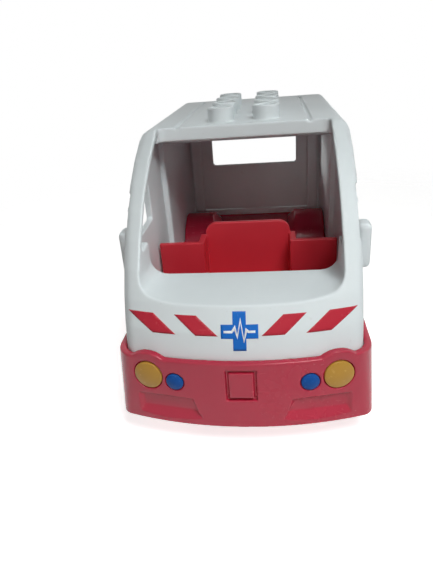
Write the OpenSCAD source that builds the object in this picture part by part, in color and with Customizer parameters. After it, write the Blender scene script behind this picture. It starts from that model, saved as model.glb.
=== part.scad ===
// Toy ambulance: a building-brick van with an open windscreen, a lift-up tailgate and rolling wheels.
// Millimetres. The ground is z = 0, the nose faces -Y, and left is the van's own left, +X.

/* [Overall] */
// Length of the chassis at its rim
length = 150; // [140:1:165]
// Width of the chassis at its rim
chassis_w = 74; // [72:1:80]
// Height of the roof above the ground
roof_z = 84; // [80:1:94]

/* [Chassis] */
// Height of the bumper's lower edge above the ground
bumper_z = 8; // [6:0.25:8]
// Height of the rim that stands round the shell
rim_z = 29.4; // [28.6:0.2:32]
// Thickness of that rim
rim_t = 2.2; // [1.6:0.1:2.8]
// Depth of the pocket that the shell drops into
rim_lap = 3; // [2:0.25:3.5]
// Width of the ledge that the shell stands on
ledge_w = 2.6; // [2.4:0.1:3]
// Wall of the tub
tub_wall = 2.4; // [1.8:0.1:3]
// Height of the load floor above the ground
floor_z = 26; // [25:0.25:26.5]
// Thickness of the load floor
floor_t = 2.2; // [1.6:0.1:3]
// How far the bumpers' lower edge stands out beyond the rim
flare = 0.7; // [0.2:0.1:1]
// Radius of the bow across the nose, seen from above
bow_r = 110; // [100:5:160]
// Radius of the front corners at the rim, seen from above
corner_r = 8; // [7:0.5:10]
// Radius of the front corners at the bumper's lower edge
foot_r = 4; // [3:0.5:7]
// Radius of the rear corners, seen from above
tail_r = 8; // [7:0.5:10]
// Depth of the sunk panels low on the bumper
panel_depth = 1.2; // [0.5:0.1:1.4]
// Height of the sunk panels
panel_h = 6.8; // [4:0.2:7]
// Height of the sunk panels above the bumper's lower edge
panel_lift = 2.4; // [2:0.2:3]
// Distance from the middle to the inner lower corner of a sunk panel
panel_in = 11.5; // [10:0.5:14]
// Distance from the middle to the outer edge of a sunk panel
panel_out = 31; // [28:0.5:32]
// Lean of a sunk panel's inner edge
panel_lean = 2.5; // [1:0.1:4]
// Width of the slope along a sunk panel's lower edge
panel_slope = 2; // [1:0.1:2.4]
// Width of the slopes along its other edges
panel_bevel = 1; // [0.5:0.1:1.4]
// Width of the pad in the middle of the bumper
pad_w = 8.8; // [6:0.2:10]
// Height of that pad
pad_h = 10; // [7:0.2:11]
// Height of the middle of that pad above the ground
pad_z = 22.2; // [20:0.2:23]
// Width and depth of the groove round the pad
pad_groove = 0.9; // [0.4:0.1:1]

/* [Lamps] */
// Diameter of a headlight lens
headlight_d = 8.6; // [6:0.2:9]
// Distance of a headlight from the side of the chassis
headlight_in = 9.8; // [9:0.1:11]
// Height of a headlight above the ground
headlight_z = 23.6; // [23:0.2:24.5]
// Diameter of a marker lens
marker_d = 5.2; // [4:0.2:6]
// Distance of a marker lens from its headlight
marker_step = 8; // [7.7:0.1:9]
// Height of a marker lens above the ground
marker_z = 22.4; // [20:0.2:23]
// Height of the rim's hump above its headlight lens
brow_w = 3.3; // [2:0.1:4]
// How far a lens stands out of the bumper
lens_proud = 0.7; // [0.4:0.1:1]
// Depth of the seat that a lens lies in
lens_seat = 0.8; // [0.5:0.1:1.2]
// Diameter of a lens peg
lens_peg_d = 3; // [2:0.2:3.6]

/* [Shell] */
// Wall of the shell
shell_wall = 2.2; // [1.6:0.1:2.6]
// How far the roof's shoulders stand inside the chassis rim on each side
roof_in = 1.9; // [1.5:0.1:3.5]
// Radius of the roof's shoulders
shoulder_r = 4; // [3.5:0.5:6]
// Distance behind the nose of the point where the front pillars reach the roof
roof_back = 60; // [57:0.5:62]
// Distance behind the nose of the point that the nose rises towards
chin_back = 6; // [4.5:0.25:8]
// Height of that point above the ground
chin_z = 50; // [47:0.5:53]
// Distance behind the nose of the point that the roof runs out towards
knee_back = 28.5; // [26:0.5:31]
// Height of that point above the ground
knee_z = 76; // [73:0.5:78]
// Height of the windscreen sill above the ground
sill_z = 43.6; // [42:0.2:45]
// Width of a front pillar, seen from the front
pillar_face = 5.95; // [5:0.05:7]
// Radius of the opening's lower corners
screen_r = 5; // [3:0.25:7]
// Radius of the dish in the sill, which the dash shelf flattens out of
dish_r = 105; // [90:5:160]
// Radius of the dash shelf's own faint dish at its rear edge
shelf_r = 1500; // [400:100:2000]
// Depth of the dash shelf, from the sill's front edge to its rear edge
dash_depth = 23.4; // [20:0.2:26]
// Distance of the header beam behind the nose
header_back = 64; // [63:0.5:66]
// Height of the header beam
header_h = 4.9; // [3.5:0.1:6]
// Thickness of the header beam
header_t = 3; // [2:0.2:4]
// Radius of the corners between the header and the pillars
header_r = 2.4; // [1:0.2:3]
// Height of the cab windows' lower edge above the ground
window_z = 54.6; // [53.6:0.2:57]
// Distance of the cab windows' rear edge behind the nose
window_back = 53.6; // [50:0.2:56]
// Radius of the front pillars' edges where they meet the roof
pillar_r = 3.6; // [3:0.2:6]
// Width of the front pillar beside a cab window
pillar_w = 7.8; // [6:0.2:9]
// Height of the cab windows' upper edge above the ground
window_top_z = 68.6; // [65:0.2:70]
// Radius of a cab window's corners
window_r = 1.4; // [0.8:0.1:1.5]
// Distance of the rib hoop behind the nose
hoop_back = 75; // [72:0.5:80]
// Width of the rib hoop
hoop_w = 2.6; // [1.6:0.2:4]
// How far the rib hoop stands into the cab
hoop_t = 2; // [1:0.1:2.2]
// Distance of the roof's two long grooves from the sides of the roof
groove_in = 12.3; // [10:0.1:15]
// Width of the roof grooves
groove_w = 1.4; // [0.8:0.1:2]
// Depth of the roof grooves
groove_depth = 0.7; // [0.4:0.1:1]
// Distance of the grooves' ends from the roof's edges
groove_end = 4; // [2:0.5:8]

/* [Studs] */
// Distance between studs
pitch = 16; // [12:0.5:16]
// Diameter of a stud
stud_d = 9.4; // [8:0.1:10]
// Height of a stud
stud_h = 5; // [3:0.1:5.5]
// Wall round the recess of a stud
stud_wall = 1.4; // [1:0.1:2]
// Depth of the recess in the top of a stud
stud_recess = 1.6; // [0.5:0.1:1.8]
// Rows of studs along the roof
stud_rows = 4; // [2:1:4]
// Distance of the first row behind the nose
stud_back = 72; // [70:0.5:76]

/* [Seat] */
// Width of the seat back
seat_w = 31; // [28:0.5:32]
// Height of the seat back above the load floor
seat_h = 23.6; // [20:0.2:26]
// Radius of the seat back's upper corners
seat_r = 4; // [2:0.5:6]
// Distance of the seat back behind the nose
seat_back = 62; // [58:0.5:64]
// Height of the side partitions above the load floor
partition_h = 18.8; // [15:0.2:20]
// How far the side partitions stand in front of the seat back
partition_lead = 8; // [5:0.5:10]
// Thickness of the seat moulding
seat_t = 2; // [1.4:0.1:2.6]
// Depth of the seat cushion in front of its back
cushion_l = 17; // [12:0.5:17.5]
// Height of the seat cushion above the load floor
cushion_h = 2.8; // [2:0.2:4]

/* [Tailgate] */
// Distance of the tailgate's edges from the sides of the roof
gate_side = 6.4; // [6.4:0.1:9]
// Thickness of the tailgate
gate_t = 2.2; // [1.8:0.1:2.2]
// Radius of the rolled hinge edge
knuckle_r = 2.3; // [2.3:0.1:2.8]
// Radius of the hinge trunnions
trunnion_r = 1.4; // [1:0.1:1.6]
// Length of each hinge trunnion
trunnion_l = 2.4; // [1.6:0.1:2.6]
// Width of the tailgate window
gate_window_w = 42; // [30:1:46]
// Height of the tailgate window
gate_window_h = 16; // [10:0.5:18]
// Height of the tailgate window's lower edge above the ground
gate_window_z = 52.8; // [48:0.2:56]
// Width of the pull lip
lip_w = 16; // [10:1:24]
// How far the pull lip stands out
lip_t = 1.6; // [1:0.1:1.8]
// Height of the pull lip
lip_h = 2.4; // [1.6:0.2:4]

/* [Mirrors] */
// Height of a mirror
mirror_h = 14.6; // [10:0.2:15]
// Depth of a mirror along the van
mirror_l = 7; // [5:0.5:9]
// How far a mirror stands out of the shell
mirror_out = 4.3; // [3.5:0.1:5]
// Radius of a mirror's edges
mirror_r = 1.7; // [1:0.1:1.7]
// Distance of a mirror's middle behind the nose
mirror_back = 35; // [33:0.5:38]
// Height of a mirror's middle above the ground
mirror_z = 50.2; // [49:0.2:52]
// Diameter of a mirror peg
mirror_peg_d = 3; // [2:0.2:4]

/* [Wheels] */
// Diameter of a tyre
tyre_d = 24; // [21:0.5:24]
// Width of a tyre
tyre_w = 11; // [8:0.5:11.5]
// Bevel on a tyre's edges
tyre_bevel = 1.3; // [0.6:0.1:1.8]
// Diameter of a hub
hub_d = 16.4; // [13:0.2:18]
// Width of a hub's outer rim
hub_rim = 1.8; // [1.2:0.1:2.4]
// Depth of the dish in a hub's face
hub_dish = 1.2; // [0.6:0.1:1.6]
// Thickness of a hub's face outside the axle's end
hub_face = 2.2; // [1.8:0.1:3]
// How far a tyre's outer face stands inside the chassis rim
wheel_sink = 2.5; // [2:0.1:4]
// Diameter of an axle
axle_d = 4; // [3:0.1:4.5]
// Distance of the front axle behind the nose
front_axle_back = 33; // [31:0.5:35]
// Distance of the rear axle in front of the tail
rear_axle_in = 31; // [28:0.5:33]
// Gap between a tyre and its arch
arch_gap = 1.5; // [1:0.1:1.7]
// Wall of the arch linings
arch_wall = 1.8; // [1.4:0.1:2.2]
// Width of the bearing wall beside each wheel
bearing_w = 3; // [2:0.2:4]
// Radius of the humps over the rear wheels
hump_r = 17; // [16:0.2:18.5]
// Height of the rear humps above the load floor
hump_h = 9.6; // [8:0.2:12]
// How far a rear hump reaches inwards past its wheel well
hump_in = 6.5; // [5:0.1:8]
// Bevel round the inner edge of a rear hump
hump_bevel = 3; // [1:0.2:4]

/* [Underbody] */
// Thickness of the underbody plate
plate_t = 1.8; // [1.4:0.1:1.8]
// Distance of the screws from the middle
screw_x = 12; // [9:0.5:14]
// Diameter of a screw shank
screw_d = 2.5; // [2:0.1:3]
// Diameter of a screw head
screw_head_d = 4.6; // [4:0.1:5]
// Height of a screw head
screw_head_h = 1; // [0.8:0.1:1]
// Width of the cross recess in a screw head
screw_slot = 0.6; // [0.4:0.1:0.8]
// Wall of a screw boss
boss_wall = 1.9; // [1.4:0.1:2.4]

/* [Snap tongues] */
// Width of a snap tongue under the shell
tongue_w = 9; // [6:0.5:12]
// Thickness of a snap tongue
tongue_t = 1.3; // [1:0.1:1.4]
// Barb at the end of a snap tongue
barb = 0.6; // [0.4:0.1:0.8]
// Distances of the snap tongues behind the nose
tongue_backs = [62, 90];

/* [Clearances] */
// Gap between pieces that are fixed to each other
seat_gap = 0.15; // [0.1:0.05:0.25]
// Gap round a lens in its seat
lens_gap = 0.3; // [0.15:0.05:0.35]
// Radial gap round a turning shaft
run_gap = 0.06; // [0.03:0.01:0.1]
// Gap round a piece that swings
swing_gap = 0.35; // [0.3:0.05:0.5]
// Radial gap of a pressed fit
press_gap = 0.02; // [0.01:0.01:0.03]

/* [Hidden] */
$fn = 64;
// Overshoot of a cut past the face that it opens
over = 1;
// Thickness of the slices that a blended form is spanned between
slice = 0.2;
// Segments of a long arc and of a corner arc in an outline
bow_steps = 24;
corner_steps = 8;
// Slices along the shell's curved front
front_steps = 9;

nose_y = -length / 2;
tail_y = length / 2;
ledge_z = rim_z - rim_lap;
shell_inset = rim_t + seat_gap;
shell_tail_y = tail_y - shell_inset;
roof_y = nose_y + roof_back;
roof_w = chassis_w - 2 * roof_in;
screen_w = roof_w - 2 * pillar_face;
gate_w = roof_w - 2 * gate_side;
groove_x = roof_w / 2 - groove_in;
headlight_x = chassis_w / 2 - headlight_in;
marker_x = headlight_x - marker_step;
shell_r = corner_r - shell_inset;
front_path = [[nose_y + shell_inset, rim_z], [nose_y + chin_back, chin_z], [nose_y + knee_back, knee_z],
    [roof_y, roof_z]];
dash_y = front_y(sill_z) + dash_depth;
header_y = nose_y + header_back;
header_z = roof_z - header_h;
window_y = nose_y + window_back;
hoop_y = nose_y + hoop_back;
stud_y = nose_y + stud_back;
seat_y = nose_y + seat_back;
mirror_y = nose_y + mirror_back;
axle_ys = [nose_y + front_axle_back, tail_y - rear_axle_in];
screw_ys = [(nose_y + axle_ys[0]) / 2, (axle_ys[1] + tail_y) / 2];
tyre_r = tyre_d / 2;
axle_r = axle_d / 2;
axle_z = tyre_r;
arch_r = tyre_r + arch_gap;
wheel_out = chassis_w / 2 - wheel_sink;
wheel_in = wheel_out - tyre_w;
well_in = wheel_in - over;
hump_x = well_in - hump_in;
plate_top = axle_z - axle_r - run_gap;
plate_z = plate_top - plate_t;
floor_under = floor_z - floor_t;
bay_inset = rim_t + ledge_w;
bay_w = chassis_w - 2 * bay_inset;
knuckle_y = shell_tail_y - knuckle_r;
knuckle_z = roof_z - shell_wall - swing_gap - knuckle_r;
gate_z = rim_z + swing_gap;
door_w = gate_w + 2 * swing_gap;

shell_white = [0.93, 0.93, 0.91];
tub_red = [0.78, 0.10, 0.15];

// Points of an arc from angle a0 to a1, leaving out the first or last ones where asked
function arc(cx, cy, r, a0, a1, n, first = 0, last = 0) =
    [for (i = [first : n - last])
        let (a = a0 + (a1 - a0) * i / n)
        [cx + r * cos(a), cy + r * sin(a)]];

// Outline of the van seen from above: bowed nose, round corners, straight sides and tail
function plan(half_w, y0, y1, bow, front_r, rear_r) =
    let (bow_y = y0 + bow,
        cx = half_w - front_r,
        cy = bow_y - sqrt(pow(bow - front_r, 2) - cx * cx),
        meet = atan2(cy - bow_y, cx),
        rx = half_w - rear_r,
        ry = y1 - rear_r)
    concat(
        arc(0, bow_y, bow, -180 - meet, meet, bow_steps),
        arc(cx, cy, front_r, meet, 0, corner_steps, first = 1),
        arc(rx, ry, rear_r, 0, 90, corner_steps),
        arc(-rx, ry, rear_r, 90, 180, corner_steps),
        arc(-cx, cy, front_r, 180, 180 - meet, corner_steps, last = 1));

// How far the bumper at height z stands out beyond the rim
function flare_at(z) = flare * max(rim_z - z, 0) / (rim_z - bumper_z);

// Point [y, z] of the shell's curved front, from the rim at t = 0 to the roof at t = 1
function front(t) =
    pow(1 - t, 3) * front_path[0] + 3 * t * pow(1 - t, 2) * front_path[1]
    + 3 * t * t * (1 - t) * front_path[2] + pow(t, 3) * front_path[3];

// Direction out of that curve
function front_out(t) =
    let (d = pow(1 - t, 2) * (front_path[1] - front_path[0])
            + 2 * t * (1 - t) * (front_path[2] - front_path[1])
            + t * t * (front_path[3] - front_path[2]))
    [-d[1], d[0]] / norm(d);

// Where the curved front stands at height z, found by halving the curve
function front_y(z, low = 0, high = 1, left = 14) =
    let (t = (low + high) / 2)
    left == 0 ? front(t)[0]
        : front(t)[1] < z ? front_y(z, t, high, left - 1)
        : front_y(z, low, t, left - 1);

// Half width of the shell's outside at height z, behind its front corners
function side_x(z) =
    let (low = chassis_w / 2 - shell_inset,
        high = roof_w / 2)
    low + (high - low) * (z - rim_z) / (roof_z - rim_z);

// A slab with the chassis outline drawn in by inset
module tub_slab(inset, z0, z1)
    translate([0, 0, z0])
        linear_extrude(z1 - z0)
            polygon(plan(chassis_w / 2 - inset, nose_y + inset, tail_y - inset,
                bow_r - inset, corner_r - inset, tail_r - inset));

// The flared form of the chassis drawn in by inset
module tub_form(inset, z0, z1)
    hull()
        for (z = [z0, z1 - slice])
            translate([0, 0, z])
                linear_extrude(slice) {
                    out = flare_at(z) - inset;
                    front_r = corner_r + (foot_r - corner_r) * flare_at(z) / flare;
                    polygon(plan(chassis_w / 2 + out, nose_y - out, tail_y + out,
                        bow_r + out, front_r, tail_r));
                }

// A block between two corners
module block(low, high)
    translate(low)
        cube(high - low);

// A cylinder along X between two places
module rod_x(x0, x1, y, z, r)
    translate([x0, y, z])
        rotate([0, 90, 0])
            cylinder(r = r, h = x1 - x0);

// Children on both sides of the van
module both_sides()
    for (side = [0, 1])
        mirror([side, 0, 0])
            children();

// Children carried to a place on the bowed nose, facing out of it
module on_bow(x, z)
    translate([0, nose_y + bow_r, z])
        rotate([0, 0, asin(x / bow_r)])
            translate([0, -bow_r - flare_at(z), 0])
                children();

// A plate standing across the van, with its two upper corners rounded
module round_top_plate(w, z0, z1, y0, y1, r)
    translate([0, y1, 0])
        rotate([90, 0, 0])
            linear_extrude(y1 - y0) {
                translate([-w / 2, z0])
                    square([w, z1 - z0 - r]);
                translate([-w / 2 + r, z0])
                    square([w - 2 * r, z1 - z0]);
                for (x = [-w / 2 + r, w / 2 - r])
                    translate([x, z1 - r])
                        circle(r);
            }

// Chassis

// Lining of one wheel well, which also carries the axle
module arch_lining(y) {
    r = arch_r + arch_wall;
    intersection() {
        rod_x(well_in - bearing_w, bay_w / 2, y, axle_z, r);
        block([0, y - r, axle_z], [chassis_w, y + r, axle_z + r]);
    }
    block([well_in - bearing_w, y - r, plate_top], [bay_w / 2, y + r, axle_z + slice]);
}

// Space for one wheel, open below and at the side
module wheel_well(y) {
    rod_x(well_in, chassis_w, y, axle_z, arch_r);
    block([well_in, y - arch_r, -over], [chassis_w, y + arch_r, axle_z]);
}

// Hump over a rear wheel
module hump(r, x0, x1, bevel)
    translate([0, axle_ys[1], floor_z + hump_h - hump_r]) {
        rod_x(x0 + bevel, x1, 0, 0, r);
        translate([x0, 0, 0])
            rotate([0, 90, 0])
                cylinder(r1 = r - bevel, r2 = r, h = bevel);
    }

// Slot that an axle is laid into from below
module axle_slot(y) {
    rod_x(-well_in - over, well_in + over, y, axle_z, axle_r + run_gap);
    block([-well_in - over, y - axle_r - run_gap, -over], [well_in + over, y + axle_r + run_gap, axle_z]);
}

// Seat and peg hole of a lens
module lens_cut(x, z, d)
    on_bow(x, z)
        rotate([90, 0, 0]) {
            translate([0, 0, -lens_seat])
                cylinder(d = d + 2 * lens_gap, h = lens_seat + 2 * over);
            translate([0, 0, -tub_wall - over])
                cylinder(d = lens_peg_d + 2 * press_gap, h = tub_wall + over);
        }

// Point at depth under the bowed nose
function under_bow(x, z, depth) =
    let (a = asin(x / bow_r),
        r = bow_r + flare_at(z) - depth)
    [r * sin(a), nose_y + bow_r - r * cos(a), z];

// Sunk panel low on one side of the bumper, with sloping edges
module bumper_panel() {
    z0 = bumper_z + panel_lift;
    z1 = z0 + panel_h;
    rim = [[panel_in, z0], [panel_out, z0], [panel_out, z1], [panel_in + panel_lean, z1]];
    bed = [for (i = [0 : 3])
        rim[i] + [i == 0 || i == 3 ? panel_bevel : -panel_bevel, i < 2 ? panel_slope : -panel_bevel]];
    // The slopes run on past the bumper's surface
    polyhedron(
        concat([for (at = bed) under_bow(at[0], at[1], panel_depth)],
            [for (i = [0 : 3])
                let (at = 2 * rim[i] - bed[i])
                under_bow(at[0], at[1], -panel_depth)]),
        [[0, 1, 2], [0, 2, 3], [4, 6, 5], [4, 7, 6], [0, 5, 1], [0, 4, 5],
            [1, 6, 2], [1, 5, 6], [2, 7, 3], [2, 6, 7], [3, 4, 0], [3, 7, 4]]);
}

// Groove round the pad in the middle of the bumper
module pad_cut() {
    x = pad_w / 2;
    z = pad_h / 2;
    translate([0, nose_y, pad_z])
        difference() {
            block([-x, -over, -z], [x, pad_groove, z]);
            block([-x + pad_groove, -2 * over, -z + pad_groove],
                [x - pad_groove, pad_groove + over, z - pad_groove]);
        }
}

// Slot through the ledge and floor for a snap tongue
module tongue_slot(y) {
    x = side_x(rim_z) - shell_wall;
    block([x - seat_gap, y - tongue_w / 2 - seat_gap, floor_under - over],
        [x + tongue_t + barb + seat_gap, y + tongue_w / 2 + seat_gap, ledge_z + over]);
}

module chassis()
    color(tub_red)
        difference() {
            union() {
                difference() {
                    tub_form(0, bumper_z, rim_z);
                    tub_slab(rim_t, ledge_z, rim_z + over);
                    tub_slab(bay_inset, floor_z, rim_z + over);
                    tub_slab(tub_wall, bumper_z - over, floor_under);
                }
                // Humps of the rim over the headlights
                intersection() {
                    difference() {
                        tub_slab(0, ledge_z, rim_z + headlight_d);
                        tub_slab(rim_t, ledge_z - over, rim_z + headlight_d + over);
                    }
                    both_sides()
                        on_bow(headlight_x, headlight_z)
                            rotate([90, 0, 0])
                                cylinder(d = headlight_d + 2 * brow_w, h = 4 * rim_t, center = true);
                }
                both_sides()
                    for (y = axle_ys)
                        arch_lining(y);
                intersection() {
                    both_sides()
                        hump(hump_r, hump_x, bay_w / 2 - seat_gap, hump_bevel);
                    tub_slab(bay_inset, floor_under, roof_z);
                }
                both_sides()
                    for (y = screw_ys)
                        translate([screw_x, y, plate_top])
                            cylinder(d = screw_d + 2 * boss_wall, h = floor_under - plate_top);
            }
            both_sides() {
                for (y = axle_ys)
                    wheel_well(y);
                hump(hump_r - arch_wall, well_in, bay_w / 2 - seat_gap - arch_wall, 0);
                for (y = screw_ys)
                    translate([screw_x, y, plate_top - over])
                        cylinder(d = screw_d + 2 * press_gap, h = floor_under - plate_top);
                lens_cut(headlight_x, headlight_z, headlight_d);
                lens_cut(marker_x, marker_z, marker_d);
                bumper_panel();
                for (back = tongue_backs)
                    tongue_slot(nose_y + back);
            }
            for (y = axle_ys)
                axle_slot(y);
            pad_cut();
        }

// Underbody

module underbody()
    color(tub_red)
        difference() {
            tub_slab(tub_wall + seat_gap, plate_z, plate_top);
            both_sides() {
                for (y = axle_ys)
                    wheel_well(y);
                for (y = screw_ys)
                    translate([screw_x, y, plate_z - over]) {
                        cylinder(d = screw_d + 2 * seat_gap, h = plate_t + 2 * over);
                        cylinder(d = screw_head_d + 2 * seat_gap, h = screw_head_h + over);
                    }
            }
        }

module underbody_screws()
    color("silver")
        both_sides()
            for (y = screw_ys)
                translate([screw_x, y, plate_z])
                    difference() {
                        union() {
                            cylinder(d = screw_head_d, h = screw_head_h);
                            cylinder(d = screw_d, h = floor_under - plate_z - 2 * over);
                        }
                        // Cross recess of the driver
                        for (turn = [0, 90])
                            rotate(turn)
                                translate([0, 0, -over])
                                    block([-screw_d / 2, -screw_slot / 2, 0],
                                        [screw_d / 2, screw_slot / 2, over + screw_head_h / 2]);
                    }

// Shell

// The shell's outer form drawn in by inset, with its tail at y1 and its foot at z0
module shell_form(inset, y1, z0)
    hull() {
        translate([0, 0, z0])
            linear_extrude(rim_z - z0)
                shell_plan(rim_z, inset, nose_y + shell_inset + inset, y1);
        for (step = [1 : front_steps - 1]) {
            t = step / front_steps;
            at = front(t) - inset * front_out(t);
            translate([0, 0, at[1] - slice])
                linear_extrude(slice)
                    shell_plan(at[1], inset, at[0], y1);
        }
        for (x = [-1, 1] * (roof_w / 2 - shoulder_r))
            translate([x, roof_y, roof_z - shoulder_r])
                rotate([-90, 0, 0])
                    cylinder(r = shoulder_r - inset, h = y1 - roof_y, $fn = 32);
    }

// Outline of the shell at height z, drawn in by inset, with its front at y0 and its tail at y1
module shell_plan(z, inset, y0, y1) {
    front_r = shell_r + (pillar_r - shell_r) * (z - rim_z) / (roof_z - rim_z);
    polygon(plan(side_x(z) - inset, y0, y1, bow_r - shell_inset - inset,
        max(front_r - inset, slice), max(tail_r - shell_inset - inset, slice)));
}

// Outline of the windscreen opening seen from the front, with a dished sill
module screen_plan(bow)
    polygon(plan(screen_w / 2, sill_z, roof_z + 2 * over, bow, screen_r, slice));

// The windscreen opening, which also cuts the dash shelf and the roof in front of the header
module screen_cut()
    intersection() {
        hull() {
            translate([0, front_y(sill_z), 0])
                rotate([90, 0, 0])
                    linear_extrude(length / 4)
                        screen_plan(dish_r);
            translate([0, header_y, 0])
                rotate([90, 0, 0])
                    linear_extrude(header_y - dash_y)
                        screen_plan(shelf_r);
        }
        translate([0, 0, sill_z - over])
            linear_extrude(roof_z)
                polygon(plan(screen_w / 2 + slice, nose_y - over, header_y, bow_r, slice, header_r));
    }

// Both cab windows, whose front edge follows the pillar
module window_cut() {
    low = window_z + window_r;
    high = window_top_z - window_r;
    translate([-chassis_w, 0, 0])
        rotate([90, 0, 90])
            linear_extrude(2 * chassis_w)
                hull() {
                    for (z = [low, (low + high) / 2, high])
                        translate([front_y(z) + pillar_w + window_r, z])
                            circle(window_r);
                    for (z = [low, high])
                        translate([window_y - window_r, z])
                            circle(window_r);
                }
}

// The solid front pillars, still joined across the windscreen
module front_pillars()
    translate([-chassis_w, 0, 0])
        rotate([90, 0, 90])
            linear_extrude(2 * chassis_w)
                polygon(concat([[nose_y, roof_z], [nose_y, sill_z]],
                    [for (step = [0 : front_steps])
                        let (z = sill_z + (roof_z - sill_z) * step / front_steps)
                        [front_y(z) + pillar_w, z]]));

// Hollow of the shell, which leaves the dash, the pillars, the header and the rib hoop standing
module shell_hollow()
    difference() {
        shell_form(shell_wall, shell_tail_y - shell_wall, ledge_z - over);
        block([-chassis_w, nose_y, sill_z - shell_wall], [chassis_w, dash_y, window_z]);
        front_pillars();
        block([-chassis_w, dash_y - shell_wall, rim_z], [chassis_w, dash_y, sill_z]);
        block([-chassis_w, header_y - header_r, header_z], [chassis_w, header_y + header_t, roof_z]);
        difference() {
            block([-chassis_w, hoop_y, rim_z], [chassis_w, hoop_y + hoop_w, roof_z]);
            shell_form(shell_wall + hoop_t, shell_tail_y, ledge_z);
        }
    }

// Ear that holds a tailgate trunnion, and the strip that the tailgate closes on
module door_frame() {
    ear = knuckle_r + swing_gap;
    block([door_w / 2, knuckle_y - ear, knuckle_z - ear],
        [roof_w / 2 - shell_wall / 2, shell_tail_y - shell_wall / 2, roof_z - shell_wall]);
    block([gate_w / 2 - shell_wall, shell_tail_y - gate_t - shell_wall, rim_z],
        [door_w / 2, shell_tail_y - gate_t - seat_gap, knuckle_z - 2 * ear]);
    block([door_w / 2 - seat_gap, shell_tail_y - gate_t - shell_wall, rim_z],
        [door_w / 2 + shell_wall, shell_tail_y - shell_wall / 2, knuckle_z - 2 * ear]);
}

// A stud with a recess in its top
module stud(x, y, z)
    translate([x, y, z])
        difference() {
            cylinder(d = stud_d, h = stud_h);
            translate([0, 0, stud_h - stud_recess])
                cylinder(d = stud_d - 2 * stud_wall, h = stud_h);
        }

// Snap tongue under the shell's edge
module tongue(y) {
    x = side_x(rim_z) - shell_wall;
    block([x, y - tongue_w / 2, floor_under - seat_gap - 2 * barb],
        [x + tongue_t, y + tongue_w / 2, ledge_z + over]);
    translate([x + tongue_t, y + tongue_w / 2, floor_under - seat_gap])
        rotate([90, 0, 0])
            linear_extrude(tongue_w)
                polygon([[-slice, 0], [barb, 0], [0, -2 * barb], [-slice, -2 * barb]]);
}

module body_shell()
    color(shell_white) {
        difference() {
            union() {
                difference() {
                    shell_form(0, shell_tail_y, ledge_z);
                    shell_hollow();
                    block([-door_w / 2, shell_tail_y - shell_wall - over, rim_z],
                        [door_w / 2, tail_y, roof_z - shell_wall]);
                }
                both_sides()
                    door_frame();
            }
            screen_cut();
            window_cut();
            both_sides() {
                rod_x(door_w / 2 - over, door_w / 2 + trunnion_l + seat_gap, knuckle_y, knuckle_z,
                    trunnion_r + run_gap);
                rod_x(side_x(mirror_z) - 2 * shell_wall, side_x(mirror_z) + over, mirror_y, mirror_z,
                    mirror_peg_d / 2 + press_gap);
                block([groove_x - groove_w / 2, roof_y + groove_end, roof_z - groove_depth],
                    [groove_x + groove_w / 2, shell_tail_y - groove_end, roof_z + over]);
            }
        }
        both_sides() {
            for (row = [0 : stud_rows - 1])
                stud(pitch / 2, stud_y + row * pitch, roof_z);
            for (back = tongue_backs)
                tongue(nose_y + back);
        }
    }

// Seat

module seat_moulding()
    color(tub_red) {
        back_z = floor_z + seat_h;
        side_z = floor_z + partition_h;
        front_y = seat_y - partition_lead;
        round_top_plate(seat_w, floor_z, back_z, seat_y, seat_y + seat_t, seat_r);
        both_sides() {
            block([seat_w / 2 - slice, front_y, floor_z], [seat_w / 2 + seat_t, seat_y + seat_t, side_z]);
            block([seat_w / 2, front_y, floor_z],
                [bay_w / 2 - 4 * seat_gap, front_y + seat_t, side_z]);
        }
        block([-seat_w / 2, seat_y - cushion_l, floor_z], [seat_w / 2, seat_y + slice, floor_z + cushion_h]);
    }

// Tailgate

module tailgate()
    color(shell_white)
        difference() {
            union() {
                rod_x(-gate_w / 2, gate_w / 2, knuckle_y, knuckle_z, knuckle_r);
                rod_x(-gate_w / 2 - swing_gap - trunnion_l, gate_w / 2 + swing_gap + trunnion_l,
                    knuckle_y, knuckle_z, trunnion_r);
                block([-gate_w / 2, shell_tail_y - gate_t, gate_z], [gate_w / 2, shell_tail_y, knuckle_z]);
                block([-lip_w / 2, shell_tail_y - slice, gate_z],
                    [lip_w / 2, shell_tail_y + lip_t, gate_z + lip_h]);
            }
            translate([0, shell_tail_y + over, 0])
                rotate([90, 0, 0])
                    linear_extrude(gate_t + 2 * over)
                        hull()
                            for (x = [-1, 1] * (gate_window_w / 2 - window_r),
                                z = [gate_window_z + window_r, gate_window_z + gate_window_h - window_r])
                                translate([x, z])
                                    circle(window_r);
        }

// Mirrors

module mirror_piece()
    color(shell_white) {
        x0 = side_x(mirror_z) + seat_gap;
        hull()
            for (x = [x0 + mirror_r, x0 + mirror_out - mirror_r],
                y = [-1, 1] * (mirror_l / 2 - mirror_r),
                z = [-1, 1] * (mirror_h / 2 - mirror_r))
                translate([x, mirror_y + y, mirror_z + z])
                    sphere(mirror_r, $fn = 16);
        rod_x(x0 - shell_wall, x0 + mirror_r, mirror_y, mirror_z, mirror_peg_d / 2);
    }

module mirror_left()
    mirror_piece();

module mirror_right()
    mirror([1, 0, 0])
        mirror_piece();

// Lamps

// A domed lens with its peg, facing out of the bumper on the left side
module lens(x, z, d)
    on_bow(x, z)
        rotate([90, 0, 0]) {
            dome_r = (d * d / 4 + lens_proud * lens_proud) / (2 * lens_proud);
            translate([0, 0, -lens_seat])
                cylinder(d = d, h = lens_seat);
            intersection() {
                translate([0, 0, lens_proud - dome_r])
                    sphere(dome_r, $fn = 96);
                translate([0, 0, -slice])
                    cylinder(d = d, h = lens_proud + slice);
            }
            translate([0, 0, -tub_wall])
                cylinder(d = lens_peg_d, h = tub_wall);
        }

module headlight_left()
    color("goldenrod")
        lens(headlight_x, headlight_z, headlight_d);

module headlight_right()
    color("goldenrod")
        mirror([1, 0, 0])
            lens(headlight_x, headlight_z, headlight_d);

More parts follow.
